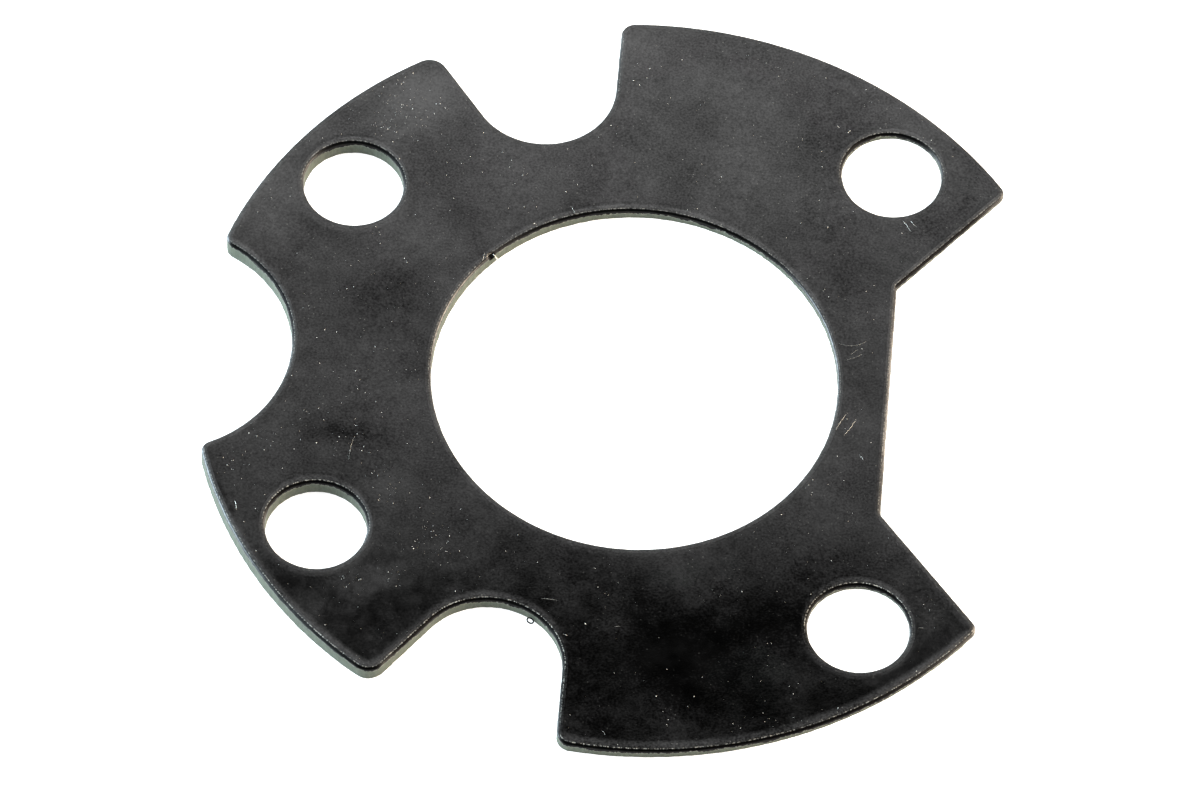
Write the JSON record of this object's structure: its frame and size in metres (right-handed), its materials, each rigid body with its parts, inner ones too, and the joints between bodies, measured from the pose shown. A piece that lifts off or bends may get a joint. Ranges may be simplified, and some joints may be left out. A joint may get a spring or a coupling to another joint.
{
  "type": "wheel alignment shim",
  "caption": "Flat steel plate tapered in thickness, with a central bore, bolt holes, rim notches and one flat cut, that tilts a wheel hub to change its alignment.",
  "frame": {"origin": "middle of the plan's box, on the flat ground underside", "axes": "+Z from the flat underside to the sloped upper face, +X towards the flat cut and the thin side, +Y across the plate's line of symmetry"},
  "size_m": [0.1006, 0.1132, 0.0028],
  "materials": {
    "blackened_steel": "satin black oxide on stamped steel, worn at the rims, with bare grey-green break zones on the cut edges"
  },
  "bodies": {
    "root": {"alignment_shim": "blackened_steel"}
  },
  "joints": []
}
